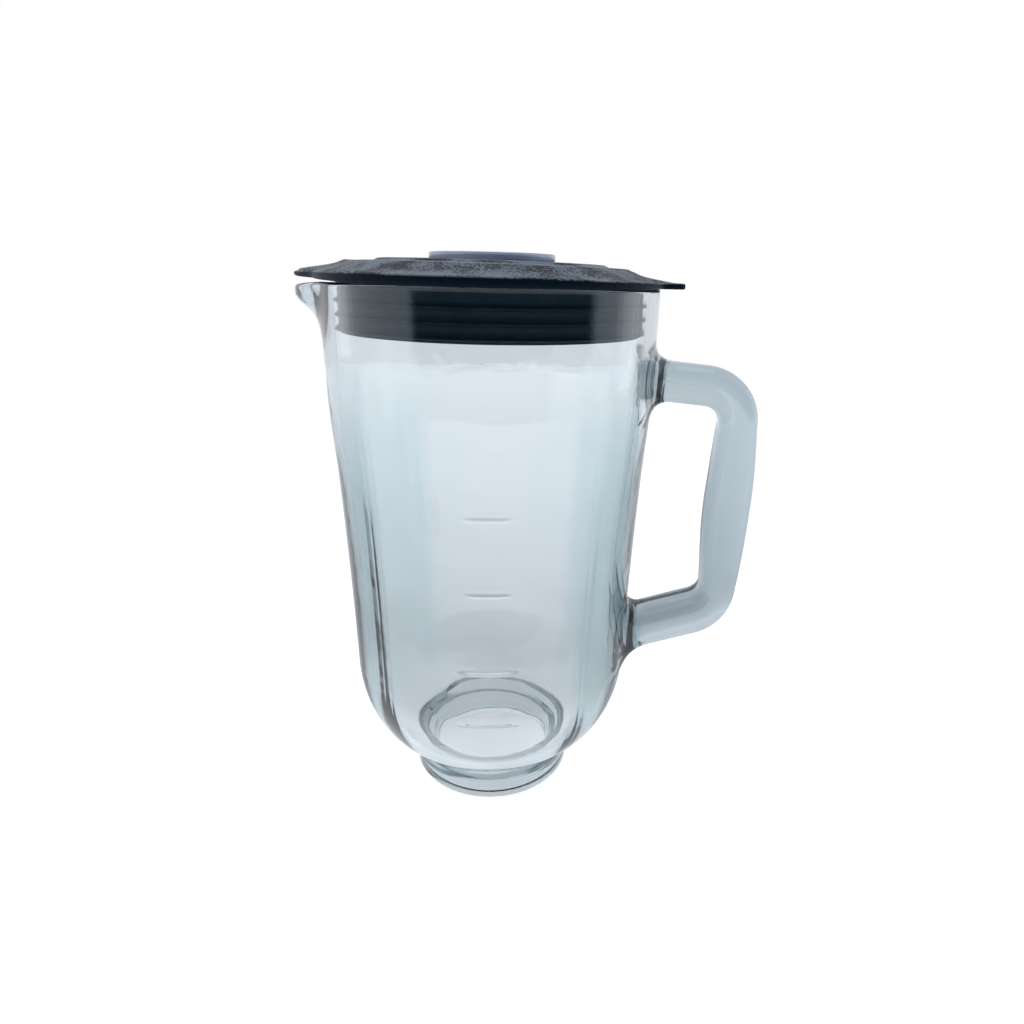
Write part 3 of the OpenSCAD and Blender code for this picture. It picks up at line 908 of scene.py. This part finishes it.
def build_floor():
    """A round table top: plain white to the camera, and graded with a dark band for the glass."""
    floor_r, count = 1.4, 96
    angles = [2 * math.pi * k / count for k in range(count)]
    data = bpy.data.meshes.new("floor")
    edge = [(floor_r * math.cos(a), floor_r * math.sin(a), 0.0) for a in angles]
    data.from_pydata(edge, [], [tuple(range(count))])
    floor = bpy.data.objects.new("floor", data)
    bpy.context.scene.collection.objects.link(floor)
    floor.location.z = -0.0002
    material, nodes, links, shader, _ = new_material("floor_white")
    shader.inputs["Base Color"].default_value = (0.3, 0.3, 0.3, 1.0)
    shader.inputs["Roughness"].default_value = 0.9
    shader.inputs["Emission Strength"].default_value = 1.0
    deep = coordinates(nodes, links, "Object")[1]
    cloud = noise(nodes, links, 12.0, 1.0)
    drift = maths(nodes, links, "MULTIPLY_ADD", cloud.outputs["Fac"], 0.10, deep)
    grey = ramp(nodes, links, fade(nodes, links, drift, -0.25, 1.25), FLOOR_STOPS)
    links.new(seen_directly(nodes, links, FLOOR_WHITE, grey), shader.inputs["Emission Color"])
    data.materials.append(material)


def build_world():
    """Plain white to the camera; for the glass, bright behind the jar and dark blue in front of it."""
    world = bpy.data.worlds.new("studio")
    bpy.context.scene.world = world
    world.use_nodes = True
    nodes, links = world.node_tree.nodes, world.node_tree.links
    back = nodes["Background"]
    where = nodes.new("ShaderNodeTexCoord")
    ahead = nodes.new("ShaderNodeVectorMath")
    ahead.operation = "DOT_PRODUCT"
    ahead.inputs[1].default_value = WORLD_BACK
    links.new(where.outputs["Generated"], ahead.inputs[0])
    below = fade(nodes, links, coordinates(nodes, links, "Generated")[2], -0.10, -0.45, 0.9)
    raised = maths(nodes, links, "ADD", ahead.outputs["Value"], below)
    studio = ramp(nodes, links, fade(nodes, links, raised, -1.0, 1.0), WORLD_STOPS)
    links.new(seen_directly(nodes, links, WORLD_WHITE, studio), back.inputs["Color"])
    back.inputs["Strength"].default_value = 1.0


def soft_light(name, place, target, width, height, power):
    """A rectangular lamp at place that shines on target."""
    light = bpy.data.lights.new(name, "AREA")
    light.shape = "RECTANGLE"
    light.size, light.size_y = width, height
    light.energy = power
    light.color = LAMP_COLOUR
    lamp = bpy.data.objects.new(name, light)
    bpy.context.scene.collection.objects.link(lamp)
    lamp.location = place
    lamp.rotation_euler = (Vector(target) - Vector(place)).to_track_quat("-Z", "Y").to_euler()


def build_camera():
    """The camera of the reference view: close, a little above the rim, looking down at the jar."""
    distance, above_rim = 0.2623, 0.0045
    azimuth, yaw, pitch, roll = (math.radians(a) for a in (5.0, 4.39, 19.94, 1.49))
    data = bpy.data.cameras.new("camera")
    data.sensor_width = 36.0
    data.lens = 23.34
    data.shift_x, data.shift_y = -0.0277, 0.0018
    data.clip_start = 0.01
    camera = bpy.data.objects.new("camera", data)
    bpy.context.scene.collection.objects.link(camera)
    place = Vector((distance * math.sin(azimuth), -distance * math.cos(azimuth), RIM_Z * MM + above_rim))
    heading = azimuth - yaw
    level = Vector((-math.sin(heading), math.cos(heading), 0.0))
    forward = level * math.cos(pitch) + Vector((0.0, 0.0, -math.sin(pitch)))
    right = Vector((math.cos(heading), math.sin(heading), 0.0))
    up = right.cross(forward)
    right, up = (math.cos(roll) * right + math.sin(roll) * up, -math.sin(roll) * right + math.cos(roll) * up)
    camera.matrix_world = Matrix((
        (right.x, up.x, -forward.x, place.x),
        (right.y, up.y, -forward.y, place.y),
        (right.z, up.z, -forward.z, place.z),
        (0.0, 0.0, 0.0, 1.0),
    ))
    bpy.context.scene.camera = camera


build_floor()
build_world()
middle = (0.0, 0.0, 0.12)
soft_light("left_box", (-0.9, 0.25, 0.55), middle, 0.35, 1.1, 0.65)
soft_light("right_box", (0.9, 0.25, 0.5), middle, 0.35, 1.1, 0.65)
soft_light("top_box", (0.0, 0.2, 1.2), middle, 1.0, 0.8, 2.8)
build_camera()
bpy.context.scene.view_settings.view_transform = "Standard"
